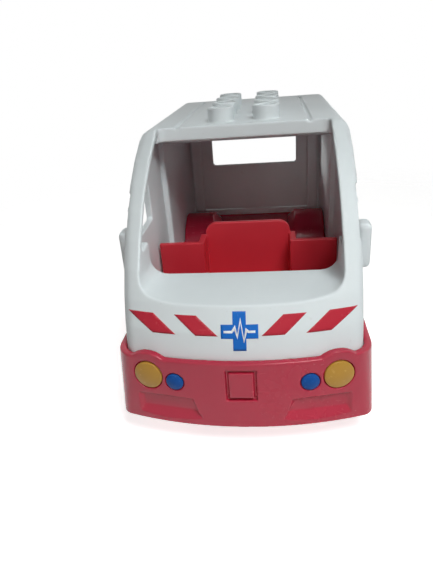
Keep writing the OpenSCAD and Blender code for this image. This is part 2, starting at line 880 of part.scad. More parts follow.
module marker_light_left()
    color("royalblue")
        lens(marker_x, marker_z, marker_d);

module marker_light_right()
    color("royalblue")
        mirror([1, 0, 0])
            lens(marker_x, marker_z, marker_d);

// Wheels

module axle(y)
    color("silver")
        rod_x(-wheel_out + hub_face, wheel_out - hub_face, y, axle_z, axle_r);

// Hub on the left side, with a dished face and a blind bore for the axle
module hub(y)
    color("white")
        translate([wheel_in, y, axle_z])
            rotate([0, 90, 0])
                difference() {
                    cylinder(d = hub_d, h = tyre_w - slice);
                    translate([0, 0, tyre_w - slice - hub_dish])
                        difference() {
                            cylinder(d = hub_d - 2 * hub_rim, h = tyre_w);
                            cylinder(d = axle_d + 2 * hub_rim, h = tyre_w);
                        }
                    translate([0, 0, -over])
                        cylinder(r = axle_r + press_gap, h = tyre_w - hub_face + over);
                }

// Tyre on the left side, with bevelled edges
module tyre(y)
    color([0.1, 0.1, 0.11])
        translate([wheel_in, y, axle_z])
            rotate([0, 90, 0])
                difference() {
                    union() {
                        translate([0, 0, tyre_bevel])
                            cylinder(r = tyre_r, h = tyre_w - 2 * tyre_bevel);
                        cylinder(r1 = tyre_r - tyre_bevel, r2 = tyre_r, h = tyre_bevel);
                        translate([0, 0, tyre_w - tyre_bevel])
                            cylinder(r1 = tyre_r, r2 = tyre_r - tyre_bevel, h = tyre_bevel);
                    }
                    translate([0, 0, -over])
                        cylinder(r = hub_d / 2 + press_gap, h = tyre_w + 2 * over);
                }

module front_axle()
    axle(axle_ys[0]);

module rear_axle()
    axle(axle_ys[1]);

module front_left_hub()
    hub(axle_ys[0]);

module front_right_hub()
    mirror([1, 0, 0])
        hub(axle_ys[0]);

module rear_left_hub()
    hub(axle_ys[1]);

module rear_right_hub()
    mirror([1, 0, 0])
        hub(axle_ys[1]);

module front_left_tyre()
    tyre(axle_ys[0]);

module front_right_tyre()
    mirror([1, 0, 0])
        tyre(axle_ys[0]);

module rear_left_tyre()
    tyre(axle_ys[1]);

module rear_right_tyre()
    mirror([1, 0, 0])
        tyre(axle_ys[1]);

chassis();
underbody();
underbody_screws();
body_shell();
seat_moulding();
tailgate();
mirror_left();
mirror_right();
headlight_left();
headlight_right();
marker_light_left();
marker_light_right();
front_axle();
rear_axle();
front_left_hub();
front_right_hub();
rear_left_hub();
rear_right_hub();
front_left_tyre();
front_right_tyre();
rear_left_tyre();
rear_right_tyre();
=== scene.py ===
import math

import bmesh
import bpy
import numpy as np
from mathutils import Matrix, Vector
from mathutils.bvhtree import BVHTree


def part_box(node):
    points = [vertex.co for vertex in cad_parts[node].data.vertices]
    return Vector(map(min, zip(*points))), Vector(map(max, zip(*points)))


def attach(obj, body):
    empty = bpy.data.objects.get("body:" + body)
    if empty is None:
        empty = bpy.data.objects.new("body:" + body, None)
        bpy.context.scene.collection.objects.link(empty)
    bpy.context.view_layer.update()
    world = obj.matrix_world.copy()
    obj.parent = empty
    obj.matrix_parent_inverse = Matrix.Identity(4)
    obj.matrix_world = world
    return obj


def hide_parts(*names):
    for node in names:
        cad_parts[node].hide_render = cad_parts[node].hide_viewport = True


mm = 0.001

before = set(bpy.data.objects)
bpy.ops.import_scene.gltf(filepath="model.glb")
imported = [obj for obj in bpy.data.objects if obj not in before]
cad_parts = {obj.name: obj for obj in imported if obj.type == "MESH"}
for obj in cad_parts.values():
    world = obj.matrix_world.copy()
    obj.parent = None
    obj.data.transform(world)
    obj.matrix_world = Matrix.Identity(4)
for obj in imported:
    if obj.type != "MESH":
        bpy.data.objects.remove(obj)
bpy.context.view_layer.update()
scene = bpy.context.scene
scene.view_settings.view_transform = "Standard"


def newObject(name, mesh):
    made = bpy.data.objects.new(name, mesh)
    scene.collection.objects.link(made)
    return made


def settle(made):
    # works the object's modifiers into its mesh
    graph = bpy.context.evaluated_depsgraph_get()
    mesh = bpy.data.meshes.new_from_object(made.evaluated_get(graph))
    old = made.data
    made.modifiers.clear()
    made.data = mesh
    bpy.data.meshes.remove(old)


def smoothShade(mesh):
    mesh.polygons.foreach_set("use_smooth", [True] * len(mesh.polygons))
    mesh.update()


def put(tree, kind, ins=None, **settings):
    made = tree.nodes.new(kind)
    for key, value in settings.items():
        setattr(made, key, value)
    for key, value in (ins or {}).items():
        if isinstance(value, bpy.types.NodeSocket):
            tree.links.new(value, made.inputs[key])
        else:
            made.inputs[key].default_value = value
    return made


def newGroup(name, ins, outs, kind="ShaderNodeTree"):
    tree = bpy.data.node_groups.new(name, kind)
    for label, socket, value in ins:
        made = tree.interface.new_socket(label, in_out="INPUT", socket_type=socket)
        if value is not None:
            made.default_value = value
    for label, socket in outs:
        tree.interface.new_socket(label, in_out="OUTPUT", socket_type=socket)
    return tree, tree.nodes.new("NodeGroupInput"), tree.nodes.new("NodeGroupOutput")


def sums(tree, operation, a, b):
    return put(tree, "ShaderNodeMath", {0: a, 1: b}, operation=operation).outputs[0]


def times(tree, a, b):
    return sums(tree, "MULTIPLY", a, b)


def noise(tree, at, scale, detail, **more):
    ins = {"Vector": at, "Scale": scale, "Detail": detail, **more}
    return put(tree, "ShaderNodeTexNoise", ins).outputs["Fac"]


def ranged(tree, value, low, high, toLow=0.0, toHigh=1.0):
    return put(tree, "ShaderNodeMapRange", {"Value": value, "From Min": low, "From Max": high,
                                            "To Min": toLow, "To Max": toHigh}).outputs["Result"]


def blended(tree, factor, a, b):
    made = tree.nodes.new("ShaderNodeMix")
    made.data_type = "RGBA"
    for slot, value in ((0, factor), (6, a), (7, b)):
        if isinstance(value, bpy.types.NodeSocket):
            tree.links.new(value, made.inputs[slot])
        else:
            made.inputs[slot].default_value = value
    return made.outputs[2]


colour, number, vector = "NodeSocketColor", "NodeSocketFloat", "NodeSocketVector"


# the wear and the painted corner shade of a moulded skin; a pair of levels is where an effect starts and where
# it is full
wear = {
    "clouds": 38.0, "specks": 420.0,                      # scales of the coarse and the fine noise
    "strokes": [((0.3, 0.9, 0.5), (30, 1400, 700)),       # turn and stretch of the scratches
                ((1.2, 0.2, 1.9), (1100, 25, 900))],
    "scratch": (0.66, 0.74), "scratched": (0.45, 0.62),   # levels of a stroke, and of the patches with strokes
    "edge": (0.512, 0.56), "worn": (0.35, 0.65),          # pointiness of a rubbed edge, and its gaps
    "corner": (0.488, 0.44), "shadeAndGrimeGaps": (0.3, 0.6),        # pointiness of a corner darkened with painted shade and grime, and its gaps
    "spot": (0.70, 0.76), "spotTint": 0.5,                # grime in specks, and its share of the corners' painted shade and grime
    "cloudy": (0.3, 0.7), "cloudRough": (-0.05, 0.06),    # the clouds' levels, and what they add to roughness
    "scratchTint": 0.35, "scratchRough": 0.25, "scratchDeep": 0.8, "grimeAndShadeRough": 0.3,
}


def mouldSkinGroup():
    # the skin of a moulded piece: cloudy tone, fine grain, rubbed edges, painted shade and grime in the
    # corners, scratches
    tree, ins, outs = newGroup("mouldSkin", [
        ("Colour", colour, (1, 1, 1, 1)), ("Rubbed", colour, (1, 1, 1, 1)),
        ("GrimeAndShade", colour, (0.2, 0.18, 0.15, 1)), ("Roughness", number, 0.35), ("Cloud", number, 0.05),
        ("Rub", number, 0.3), ("Dirt", number, 0.3), ("Scuff", number, 0.3), ("Grain", number, 1800.0)],
        [("Colour", colour), ("Roughness", number), ("Height", number)])
    at = put(tree, "ShaderNodeTexCoord").outputs["Object"]
    cloud = noise(tree, at, wear["clouds"], 4.0, Roughness=0.6)
    speck = noise(tree, at, wear["specks"], 3.0)
    grain = noise(tree, at, ins.outputs["Grain"], 2.0)
    # scratches: noise drawn out into thin strokes, in two directions
    strokes = []
    for turn, stretch in wear["strokes"]:
        drawn = put(tree, "ShaderNodeMapping", {"Vector": at, "Rotation": turn, "Scale": stretch}).outputs[0]
        strokes.append(ranged(tree, noise(tree, drawn, 1.0, 1.0), *wear["scratch"]))
    scuff = times(tree, sums(tree, "MAXIMUM", *strokes), ranged(tree, cloud, *wear["scratched"]))
    scuff = times(tree, scuff, ins.outputs["Scuff"])
    # edges are rubbed and corners are darkened with painted shade and grime, both broken up by the noise
    sharp = put(tree, "ShaderNodeNewGeometry").outputs["Pointiness"]
    rub = times(tree, ranged(tree, sharp, *wear["edge"]), ranged(tree, speck, *wear["worn"]))
    rub = times(tree, rub, ins.outputs["Rub"])
    # painted shade and grime: concave corners, found by pointiness, are darkened towards the grime colour
    dirtAndShade = times(tree, ranged(tree, sharp, *wear["corner"]), ranged(tree, cloud, *wear["shadeAndGrimeGaps"]))
    dirtAndShade = times(tree, dirtAndShade, ins.outputs["Dirt"])
    spots = times(tree, ranged(tree, speck, *wear["spot"]), ins.outputs["Dirt"])
    dirtAndShade = sums(tree, "MAXIMUM", dirtAndShade, times(tree, spots, wear["spotTint"]))
    sway = ranged(tree, cloud, *wear["cloudy"], -1.0, 1.0)
    tone = put(tree, "ShaderNodeMath", {0: sway, 1: ins.outputs["Cloud"], 2: 1.0},
               operation="MULTIPLY_ADD").outputs[0]
    base = put(tree, "ShaderNodeVectorMath", {0: ins.outputs["Colour"], "Scale": tone},
               operation="SCALE").outputs[0]
    base = blended(tree, rub, base, ins.outputs["Rubbed"])
    base = blended(tree, times(tree, scuff, wear["scratchTint"]), base, ins.outputs["Rubbed"])
    base = blended(tree, dirtAndShade, base, ins.outputs["GrimeAndShade"])
    uneven = ranged(tree, cloud, *wear["cloudy"], *wear["cloudRough"])
    rough = sums(tree, "ADD", ins.outputs["Roughness"], uneven)
    rough = sums(tree, "ADD", rough, times(tree, scuff, wear["scratchRough"]))
    rough = sums(tree, "ADD", rough, times(tree, dirtAndShade, wear["grimeAndShadeRough"]))
    height = sums(tree, "SUBTRACT", grain, times(tree, scuff, wear["scratchDeep"]))
    tree.links.new(base, outs.inputs["Colour"])
    tree.links.new(rough, outs.inputs["Roughness"])
    tree.links.new(height, outs.inputs["Height"])
    return tree


# the skin of drawn steel, with levels as above
drawnSteel = {
    "rings": (5000, 90, 90),                              # stretch of the noise, finest along X
    "ringed": (0.3, 0.7), "ringRough": (-0.06, 0.08),     # the rings' levels, and what they add to roughness
    "patches": 260.0, "dull": (0.5, 0.7), "dullRough": 0.25,
}


def turnedMetalGroup():
    # fine rings round X and a few dull patches
    tree, ins, outs = newGroup("turnedMetal", [
        ("Colour", colour, (0.5, 0.5, 0.5, 1)), ("Dull", colour, (0.3, 0.29, 0.28, 1)),
        ("Roughness", number, 0.3)],
        [("Colour", colour), ("Roughness", number), ("Height", number)])
    at = put(tree, "ShaderNodeTexCoord").outputs["Object"]
    drawn = put(tree, "ShaderNodeMapping", {"Vector": at, "Scale": drawnSteel["rings"]}).outputs[0]
    rings = noise(tree, drawn, 1.0, 2.0)
    dull = ranged(tree, noise(tree, at, drawnSteel["patches"], 3.0), *drawnSteel["dull"])
    base = blended(tree, dull, ins.outputs["Colour"], ins.outputs["Dull"])
    rough = sums(tree, "ADD", ins.outputs["Roughness"], times(tree, dull, drawnSteel["dullRough"]))
    uneven = ranged(tree, rings, *drawnSteel["ringed"], *drawnSteel["ringRough"])
    rough = sums(tree, "ADD", rough, uneven)
    tree.links.new(base, outs.inputs["Colour"])
    tree.links.new(rough, outs.inputs["Roughness"])
    tree.links.new(rings, outs.inputs["Height"])
    return tree


mouldSkin = mouldSkinGroup()
turnedMetal = turnedMetalGroup()


def finishOf(name, group, look, settings):
    made = bpy.data.materials.new(name)
    made.use_nodes = True
    tree = made.node_tree
    shader = tree.nodes["Principled BSDF"]
    skin = put(tree, "ShaderNodeGroup", node_tree=group)
    for label, value in look.items():
        skin.inputs[label].default_value = value
    for label, value in settings.items():
        if label not in ("Bump", "Depth"):
            shader.inputs[label].default_value = value
    bump = put(tree, "ShaderNodeBump", {"Strength": settings["Bump"], "Distance": settings["Depth"] * mm,
                                        "Height": skin.outputs["Height"]})
    tree.links.new(skin.outputs["Colour"], shader.inputs["Base Color"])
    tree.links.new(skin.outputs["Roughness"], shader.inputs["Roughness"])
    tree.links.new(bump.outputs["Normal"], shader.inputs["Normal"])
    return made


# in every finish below, the grime colour and the dirt level also set the painted shade in the corners
shellWhite = finishOf("shellWhite", mouldSkin, {
    "Colour": (0.755, 0.81, 0.825, 1), "Rubbed": (0.85, 0.88, 0.89, 1), "GrimeAndShade": (0.42, 0.38, 0.32, 1),
    "Roughness": 0.36, "Cloud": 0.02, "Rub": 0.4, "Dirt": 0.22, "Scuff": 0.35, "Grain": 1500.0},
    {"Specular IOR Level": 0.03, "Bump": 0.12, "Depth": 0.05})
tubRed = finishOf("tubRed", mouldSkin, {
    "Colour": (0.435, 0.016, 0.046, 1), "Rubbed": (0.62, 0.07, 0.10, 1), "GrimeAndShade": (0.12, 0.02, 0.02, 1),
    "Roughness": 0.22, "Cloud": 0.04, "Rub": 0.15, "Dirt": 0.12, "Scuff": 0.12, "Grain": 1500.0},
    {"Specular IOR Level": 0.42, "Bump": 0.08, "Depth": 0.05})
seatRed = finishOf("seatRed", mouldSkin, {
    "Colour": (0.56, 0.026, 0.042, 1), "Rubbed": (0.74, 0.08, 0.09, 1), "GrimeAndShade": (0.16, 0.02, 0.02, 1),
    "Roughness": 0.36, "Cloud": 0.04, "Rub": 0.2, "Dirt": 0.15, "Scuff": 0.15, "Grain": 1500.0},
    {"Specular IOR Level": 0.45, "Bump": 0.12, "Depth": 0.05})
lampYellow = finishOf("lampYellow", mouldSkin, {
    "Colour": (0.465, 0.25, 0.036, 1), "Rubbed": (0.78, 0.52, 0.15, 1), "GrimeAndShade": (0.16, 0.10, 0.03, 1),
    "Roughness": 0.34, "Cloud": 0.06, "Rub": 0.3, "Dirt": 0.5, "Scuff": 0.3, "Grain": 1900.0},
    {"Specular IOR Level": 0.3, "Bump": 0.1, "Depth": 0.05})
lampBlue = finishOf("lampBlue", mouldSkin, {
    "Colour": (0.007, 0.075, 0.31, 1), "Rubbed": (0.10, 0.24, 0.60, 1), "GrimeAndShade": (0.01, 0.02, 0.06, 1),
    "Roughness": 0.34, "Cloud": 0.06, "Rub": 0.3, "Dirt": 0.4, "Scuff": 0.3, "Grain": 1900.0},
    {"Specular IOR Level": 0.12, "Bump": 0.1, "Depth": 0.05})
printRed = finishOf("printRed", mouldSkin, {
    "Colour": (0.48, 0.021, 0.041, 1), "Rubbed": (0.74, 0.20, 0.22, 1), "GrimeAndShade": (0.30, 0.02, 0.03, 1),
    "Roughness": 0.42, "Cloud": 0.04, "Rub": 0.0, "Dirt": 0.15, "Scuff": 0.6, "Grain": 2600.0},
    {"Specular IOR Level": 0.25, "Bump": 0.08, "Depth": 0.02})
printBlue = finishOf("printBlue", mouldSkin, {
    "Colour": (0.003, 0.135, 0.54, 1), "Rubbed": (0.25, 0.40, 0.72, 1), "GrimeAndShade": (0.01, 0.05, 0.2, 1),
    "Roughness": 0.42, "Cloud": 0.04, "Rub": 0.0, "Dirt": 0.15, "Scuff": 0.6, "Grain": 2600.0},
    {"Specular IOR Level": 0.25, "Bump": 0.08, "Depth": 0.02})
printWhite = finishOf("printWhite", mouldSkin, {
    "Colour": (0.82, 0.84, 0.84, 1), "Rubbed": (0.7, 0.75, 0.82, 1), "GrimeAndShade": (0.5, 0.5, 0.5, 1),
    "Roughness": 0.42, "Cloud": 0.02, "Rub": 0.0, "Dirt": 0.1, "Scuff": 0.5, "Grain": 2600.0},
    {"Specular IOR Level": 0.25, "Bump": 0.08, "Depth": 0.02})
hubWhite = finishOf("hubWhite", mouldSkin, {
    "Colour": (0.78, 0.78, 0.75, 1), "Rubbed": (0.86, 0.86, 0.84, 1), "GrimeAndShade": (0.25, 0.22, 0.18, 1),
    "Roughness": 0.38, "Cloud": 0.04, "Rub": 0.4, "Dirt": 0.6, "Scuff": 0.5, "Grain": 1500.0},
    {"Specular IOR Level": 0.4, "Bump": 0.12, "Depth": 0.05})
tyreBlack = finishOf("tyreBlack", mouldSkin, {
    "Colour": (0.022, 0.022, 0.024, 1), "Rubbed": (0.075, 0.073, 0.07, 1), "GrimeAndShade": (0.09, 0.08, 0.065, 1),
    "Roughness": 0.62, "Cloud": 0.15, "Rub": 0.7, "Dirt": 0.5, "Scuff": 0.6, "Grain": 1100.0},
    {"Specular IOR Level": 0.4, "Bump": 0.25, "Depth": 0.06})
axleSteel = finishOf("axleSteel", turnedMetal, {
    "Colour": (0.56, 0.56, 0.57, 1), "Dull": (0.34, 0.32, 0.30, 1), "Roughness": 0.28},
    {"Metallic": 1.0, "Bump": 0.2, "Depth": 0.02})
screwSteel = finishOf("screwSteel", turnedMetal, {
    "Colour": (0.50, 0.50, 0.48, 1), "Dull": (0.25, 0.23, 0.20, 1), "Roughness": 0.34},
    {"Metallic": 1.0, "Bump": 0.2, "Depth": 0.02})
print("materials mixed")


moulding = {
    "weld": 0.002,            # points of a CAD mesh closer than this are one, in millimetres
    "pull": 0.5,              # how far a point goes towards its neighbours in each round of smoothing
    "flatWeight": 50,         # how much the larger faces set the shading
    "fadeSteps": 4,           # steps in which a softer zone fades out
}


def weldedCopy(nodeName):
    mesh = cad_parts[nodeName].data.copy()
    work = bmesh.new()
    work.from_mesh(mesh)
    bmesh.ops.remove_doubles(work, verts=work.verts, dist=moulding["weld"] * mm)
    work.to_mesh(mesh)
    work.free()
    mesh.materials.clear()
    return mesh


def addZone(made, name, zone):
    # vertex group of the points inside a box, fading out over the zone's own distance
    count = len(made.data.vertices)
    co = np.empty(count * 3, np.float32)
    made.data.vertices.foreach_get("co", co)
    co = co.reshape(-1, 3)
    low, high = np.array(zone["low"]) * mm, np.array(zone["high"]) * mm
    out = np.maximum(np.maximum(low - co, co - high), 0).max(axis=1)
    weight = np.clip(1 - out / (zone["fade"] * mm), 0, 1)
    group = made.vertex_groups.new(name=name)
    steps = moulding["fadeSteps"]
    for step in range(1, steps + 1):
        picked = np.nonzero((weight > (step - 1) / steps) & (weight <= step / steps))[0]
        group.add(picked.tolist(), step / steps, "REPLACE")


def mould(name, nodeName, body, material, cast):
    # recasts a CAD node as a moulding: voxel skin, edges rounded off, flats thinned out again
    made = newObject(name, weldedCopy(nodeName))
    skin = made.modifiers.new("skin", "REMESH")
    skin.mode = "VOXEL"
    skin.voxel_size = cast["voxel"] * mm
    settle(made)
    rounding = made.modifiers.new("rounding", "SMOOTH")
    rounding.factor = moulding["pull"]
    rounding.iterations = cast["rounds"]
    for i, zone in enumerate(cast.get("soft", ())):
        addZone(made, f"soft{i}", zone)
        extra = made.modifiers.new("extra", "SMOOTH")
        extra.factor = moulding["pull"]
        extra.iterations = zone["rounds"]
        extra.vertex_group = f"soft{i}"
    thin = made.modifiers.new("thin", "DECIMATE")
    thin.ratio = min(1.0, cast["triangles"] / (2.0 * len(made.data.polygons)))    # the skin is all quads
    thin.use_collapse_triangulate = True
    settle(made)
    made.vertex_groups.clear()
    smoothShade(made.data)
    weigh = made.modifiers.new("weigh", "WEIGHTED_NORMAL")
    weigh.mode = "FACE_AREA"
    weigh.weight = moulding["flatWeight"]
    settle(made)
    made.data.materials.append(material)
    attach(made, body)
    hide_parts(nodeName)
    print(name, "moulded,", len(made.data.polygons), "faces")
    return made


shell = mould("shell", "body_shell", "van", shellWhite, {
    "voxel": 0.3, "rounds": 5, "triangles": 180000,
    # the sill, the pillars' edges and the header are rounded more than the rest
    "soft": [{"low": (-31, -76, 41), "high": (31, -10.5, 87), "fade": 2.0, "rounds": 16}]})
mould("tub", "chassis", "van", tubRed, {
    "voxel": 0.22, "rounds": 4, "triangles": 180000,
    "soft": [{"low": (-40, -78, 28.4), "high": (40, 78, 34), "fade": 1.0, "rounds": 26}]})
mould("seat", "seat_moulding", "van", seatRed, {
    "voxel": 0.25, "rounds": 6, "triangles": 60000})
mould("gate", "tailgate", "tailgate", shellWhite, {
    "voxel": 0.25, "rounds": 6, "triangles": 60000})
mould("floorPlate", "underbody", "van", tubRed, {
    "voxel": 0.3, "rounds": 4, "triangles": 40000})
for side in ("left", "right"):
    label = side.capitalize()
    mould("mirror" + label, "mirror_" + side, "van", shellWhite, {
        "voxel": 0.14, "rounds": 110, "triangles": 16000})
    mould("headlight" + label, "headlight_" + side, "van", lampYellow, {
        "voxel": 0.1, "rounds": 10, "triangles": 16000})
    mould("marker" + label, "marker_light_" + side, "van", lampBlue, {
        "voxel": 0.1, "rounds": 10, "triangles": 12000})


# the printed marks on the nose, in millimetres
marks = {
    "low": 35.8, "high": 41.0,                # the stripes' lower and upper edge, height above the ground
    "outer": ((18.2, 25.1), (24.8, 32.6)),    # x along the lower edge, x along the upper edge
    "inner": ((6.05, 12.4), (12.1, 18.5)),
    "crossAt": 37.0, "crossTall": 10.4, "crossArm": 3.7,
    "beat": [(-4.4, 0), (-2.1, 0), (-1.3, 1.1), (-0.6, -1.3), (0.3, 3.0), (1.2, -2.4), (1.9, 0.5),
             (2.5, 0), (4.4, 0)],
    "beatWidth": 0.62,
    "film": 0.05,                             # a film's thickness
    "lift": 0.05, "overprint": 0.09,          # how high it lies on the shell, and over another film
    "grid": 0.7,                              # the mesh of a film
    "standOff": 100.0,                        # from here, ahead of the nose, it is pushed back
}


surface = BVHTree.FromObject(shell, bpy.context.evaluated_depsgraph_get())


def layFilm(name, outlines, lift, material):
    # flat outlines in x and z, cut into a fine grid, pushed back onto the nose and given a thickness
    work = bmesh.new()
    start = -marks["standOff"] * mm
    for outline in outlines:
        work.faces.new([work.verts.new((x * mm, start, z * mm)) for x, z in outline])
    spread = [v.co.copy() for v in work.verts]
    for axis in (0, 2):
        across = Vector((axis == 0, 0, axis == 2))
        low = min(p[axis] for p in spread)
        high = max(p[axis] for p in spread)
        for step in range(1, int((high - low) / (marks["grid"] * mm)) + 1):
            cut = Vector((0, start, 0))
            cut[axis] = low + step * marks["grid"] * mm
            bmesh.ops.bisect_plane(work, geom=work.verts[:] + work.edges[:] + work.faces[:], plane_co=cut,
                                   plane_no=across, dist=1e-7)
    bmesh.ops.triangulate(work, faces=work.faces)
    for v in work.verts:
        hit, normal = surface.ray_cast(v.co, Vector((0, 1, 0)))[:2]
        v.co = hit + normal * (lift * mm)
    bmesh.ops.recalc_face_normals(work, faces=work.faces)
    if sum(f.normal.y for f in work.faces) > 0:
        bmesh.ops.reverse_faces(work, faces=work.faces)
    mesh = bpy.data.meshes.new(name)
    work.to_mesh(mesh)
    work.free()
    made = newObject(name, mesh)
    film = made.modifiers.new("film", "SOLIDIFY")
    film.thickness = marks["film"] * mm
    film.offset = -1.0
    settle(made)
    smoothShade(made.data)
    made.data.materials.append(material)
    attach(made, "van")


def bar(corners):
    (a, b), (c, d) = corners
    low, high = marks["low"], marks["high"]
    right = [(a, low), (b, low), (d, high), (c, high)]
    return right, [(-x, z) for x, z in right]


def stroke(points, width, mitreLimit=0.45):
    # one four-cornered piece for each stretch of a line, with mitred ends
    sides = []
    for i, p in enumerate(points):
        before = Vector(points[max(i - 1, 0)])
        after = Vector(points[min(i + 1, len(points) - 1)])
        here = Vector(p)
        along = [(b - a).normalized() for a, b in ((before, here), (here, after)) if (b - a).length > 0]
        mean = sum(along, Vector((0, 0))).normalized()
        across = Vector((-mean.y, mean.x)) * (width / 2 / max(mitreLimit, mean.dot(along[0])))
        sides.append((here + across, here - across))
    return [[tuple(a1), tuple(a2), tuple(b2), tuple(b1)] for (a1, a2), (b1, b2) in zip(sides, sides[1:])]


layFilm("stripes", [*bar(marks["outer"]), *bar(marks["inner"])], marks["lift"], printRed)
tall, arm, mid = marks["crossTall"] / 2, marks["crossArm"] / 2, marks["crossAt"]
plus = [(-arm, -tall), (arm, -tall), (arm, -arm), (tall, -arm), (tall, arm), (arm, arm),
        (arm, tall), (-arm, tall), (-arm, arm), (-tall, arm), (-tall, -arm), (-arm, -arm)]
layFilm("cross", [[(x, mid + z) for x, z in plus]], marks["lift"], printBlue)
line = [(x, mid + z) for x, z in marks["beat"]]
layFilm("pulse", stroke(line, marks["beatWidth"]), marks["overprint"], printWhite)
print("marks printed")


tyreShape = {
    # half of the section from the bore outwards: distance from the tread's middle and from the axle
    "section": [(4.6, 8.26), (5.1, 8.3), (5.32, 8.5), (5.44, 8.9), (5.46, 9.35), (5.34, 9.5), (5.34, 9.75),
                (5.46, 9.9), (5.44, 10.3), (5.25, 10.8), (4.95, 11.15), (4.5, 11.35)],
    "steps": 96,
    "lugs": 26, "lugLong": 1.7, "lugTall": 1.1, "lugTop": 11.95, "lugFrom": 0.4, "lugTo": 4.5,
    "edge": 0.14, "edgeAngle": 50,    # bevel of the lugs, and the angle from which an edge gets one
}


def treadTree():
    # two rows of lugs round a tyre
    tree, ins, outs = newGroup("tread", [
        ("Geometry", "NodeSocketGeometry", None), ("Lugs", "NodeSocketInt", 26), ("Ring", number, 0.0114),
        ("Lug size", vector, (0.004, 0.0017, 0.001)), ("Row", number, 0.0025), ("Middle", vector, (0, 0, 0)),
        ("Rubber", "NodeSocketMaterial", None)], [("Geometry", "NodeSocketGeometry")], "GeometryNodeTree")
    lug = put(tree, "GeometryNodeMeshCube", {"Size": ins.outputs["Lug size"]}).outputs["Mesh"]
    parts = tree.nodes.new("GeometryNodeJoinGeometry")
    step = sums(tree, "DIVIDE", 2 * math.pi, ins.outputs["Lugs"])
    turn = times(tree, step, tree.nodes.new("GeometryNodeInputIndex").outputs[0])
    # a lug's width lies along the axle and its height points away from it
    way = put(tree, "ShaderNodeCombineXYZ", {"Y": math.pi / 2, "Z": turn}).outputs[0]
    way = put(tree, "FunctionNodeEulerToRotation", {0: way}).outputs[0]
    for side in (-1.0, 1.0):
        ring = put(tree, "GeometryNodeMeshCircle", {"Vertices": ins.outputs["Lugs"],
                                                    "Radius": ins.outputs["Ring"]}).outputs[0]
        row = put(tree, "GeometryNodeInstanceOnPoints", {"Points": ring, "Instance": lug, "Rotation": way})
        # one row is turned on by half a step, then each is stood up round X
        half = put(tree, "ShaderNodeCombineXYZ", {"Z": times(tree, step, (side + 1) / 4)}).outputs[0]
        turned = put(tree, "GeometryNodeTransform", {"Geometry": row.outputs[0], "Rotation": half})
        shift = put(tree, "ShaderNodeCombineXYZ", {"X": times(tree, ins.outputs["Row"], side)}).outputs[0]
        shift = put(tree, "ShaderNodeVectorMath", {0: shift, 1: ins.outputs["Middle"]}).outputs[0]
        stood = put(tree, "GeometryNodeTransform", {"Geometry": turned.outputs[0], "Translation": shift,
                                                    "Rotation": (0, math.pi / 2, 0)})
        tree.links.new(stood.outputs[0], parts.inputs[0])
    tree.links.new(ins.outputs["Geometry"], parts.inputs[0])
    real = put(tree, "GeometryNodeRealizeInstances", {"Geometry": parts.outputs[0]})
    done = put(tree, "GeometryNodeSetMaterial", {"Geometry": real.outputs[0],
                                                 "Material": ins.outputs["Rubber"]})
    tree.links.new(done.outputs[0], outs.inputs["Geometry"])
    return tree


tread = treadTree()


def revolved(name, section, middle, steps):
    # a closed section of (x, radius) points turned round the X axis through middle
    work = bmesh.new()
    rings = []
    for i in range(steps):
        a = 2 * math.pi * i / steps
        rings.append([work.verts.new(middle + Vector((x, r * math.cos(a), r * math.sin(a))))
                      for x, r in section])
    count = len(section)
    for i in range(steps):
        one, two = rings[i], rings[(i + 1) % steps]
        for j in range(count):
            k = (j + 1) % count
            work.faces.new((one[j], one[k], two[k], two[j]))
    bmesh.ops.recalc_face_normals(work, faces=work.faces)
    mesh = bpy.data.meshes.new(name)
    work.to_mesh(mesh)
    work.free()
    return mesh


def buildTyre(nodeName, body):
    low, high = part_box(nodeName)
    middle = (low + high) / 2
    half = [(x * mm, r * mm) for x, r in tyreShape["section"]]
    section = half + [(-x, r) for x, r in reversed(half)]
    name = "tyre" + "".join(w.capitalize() for w in nodeName.split("_")[:2])
    made = newObject(name, revolved(name, section, middle, tyreShape["steps"]))
    smoothShade(made.data)
    lugWide = tyreShape["lugTo"] - tyreShape["lugFrom"]
    values = {
        "Lugs": tyreShape["lugs"],
        "Ring": (tyreShape["lugTop"] - tyreShape["lugTall"] / 2) * mm,
        "Lug size": (lugWide * mm, tyreShape["lugLong"] * mm, tyreShape["lugTall"] * mm),
        "Row": (tyreShape["lugFrom"] + lugWide / 2) * mm,
        "Middle": middle,
        "Rubber": tyreBlack,
    }
    pattern = made.modifiers.new("pattern", "NODES")
    pattern.node_group = tread
    for socket in tread.interface.items_tree:
        if socket.item_type == "SOCKET" and socket.in_out == "INPUT" and socket.name in values:
            pattern[socket.identifier] = values[socket.name]
    soften = made.modifiers.new("soften", "BEVEL")
    soften.width = tyreShape["edge"] * mm
    soften.segments = 2
    soften.limit_method = "ANGLE"
    soften.angle_limit = math.radians(tyreShape["edgeAngle"])
    settle(made)
    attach(made, body)
    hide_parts(nodeName)
    print(name, "built,", len(made.data.polygons), "faces")


for end in ("front", "rear"):
    body = end + "_wheels"
    for side in ("left", "right"):
        corner = f"{end}_{side}"
        buildTyre(corner + "_tyre", body)
        mould("hub" + end.capitalize() + side.capitalize(), corner + "_hub", body, hubWhite, {
            "voxel": 0.16, "rounds": 10, "triangles": 24000})
steels = {"front_axle": axleSteel, "rear_axle": axleSteel, "underbody_screws": screwSteel}
for nodeName, steel in steels.items():
    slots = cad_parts[nodeName].data.materials
    slots.clear()
    slots.append(steel)
print("wheels built")


stageLook = {
    "floor": (0.86, 0.86, 0.86, 1), "floorCloud": (0.88, 0.88, 0.88, 1), "cloudScale": 6.0,
    "floorLift": 0.74,                        # light that only the rays to the room see
    "floorHalf": 3.0,                         # half the floor's size, in metres
    "floorDrop": 0.05,                        # how far it lies under the tyres, in millimetres
    "fadeFrom": 0.10, "fadeTo": 0.30,         # from the middle, in metres
    "ambient": (1.0, 0.87, 0.77, 1), "ambientLevel": 0.02,
}


